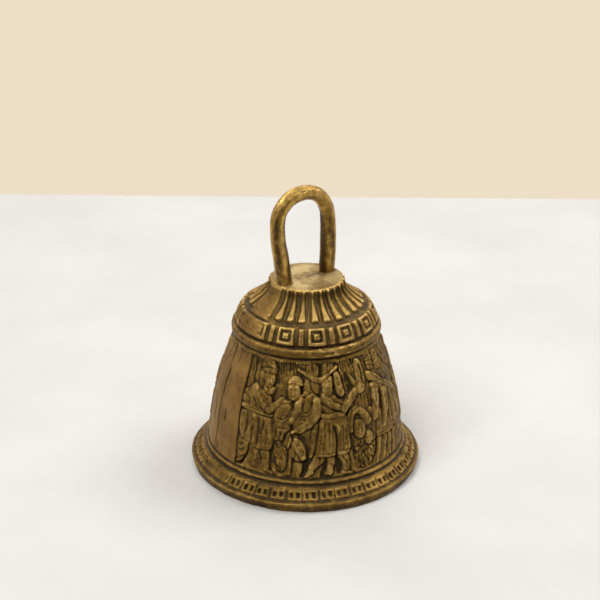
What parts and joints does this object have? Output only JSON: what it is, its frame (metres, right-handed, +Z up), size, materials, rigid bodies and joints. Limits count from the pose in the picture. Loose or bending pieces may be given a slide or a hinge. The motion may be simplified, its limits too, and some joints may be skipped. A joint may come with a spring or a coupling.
{
  "type": "brass table bell",
  "caption": "Small cast brass table bell with relief bands, a bent rod loop handle and a clapper hung on a link; rung by lifting and shaking.",
  "frame": {"origin": "middle of the rim's base, on the surface the bell stands on", "axes": "+Z up through the crown; the handle's loop lies in the XZ plane"},
  "size_m": [0.08, 0.08, 0.101],
  "materials": {
    "cast_brass": "antique patina, dark in the recesses, rubbed bright on the high points",
    "rod_brass": "worn satin, lightly hammered",
    "inner_brass": "dull, darkened",
    "iron_wire": "dark iron wire with a little rust"
  },
  "bodies": {
    "bell": {"bell_shell": "cast_brass", "loop_handle": "rod_brass", "handle_washer_left": "inner_brass", "handle_washer_right": "inner_brass", "clapper_staple": "iron_wire"},
    "link": {"clapper_link": "iron_wire"},
    "clapper": {"clapper_rod": "iron_wire", "clapper_ball": "inner_brass"}
  },
  "joints": [
    {"name": "link_swing", "type": "hinge", "parent": "bell", "child": "link", "pos_m": [0, 0, 0.0575], "axis": [1, 0, 0], "range_deg": [-12, 12]},
    {"name": "clapper_swing", "type": "hinge", "parent": "link", "child": "clapper", "pos_m": [0, 0, 0.0526], "axis": [0, 1, 0], "range_deg": [-37, 37]}
  ]
}
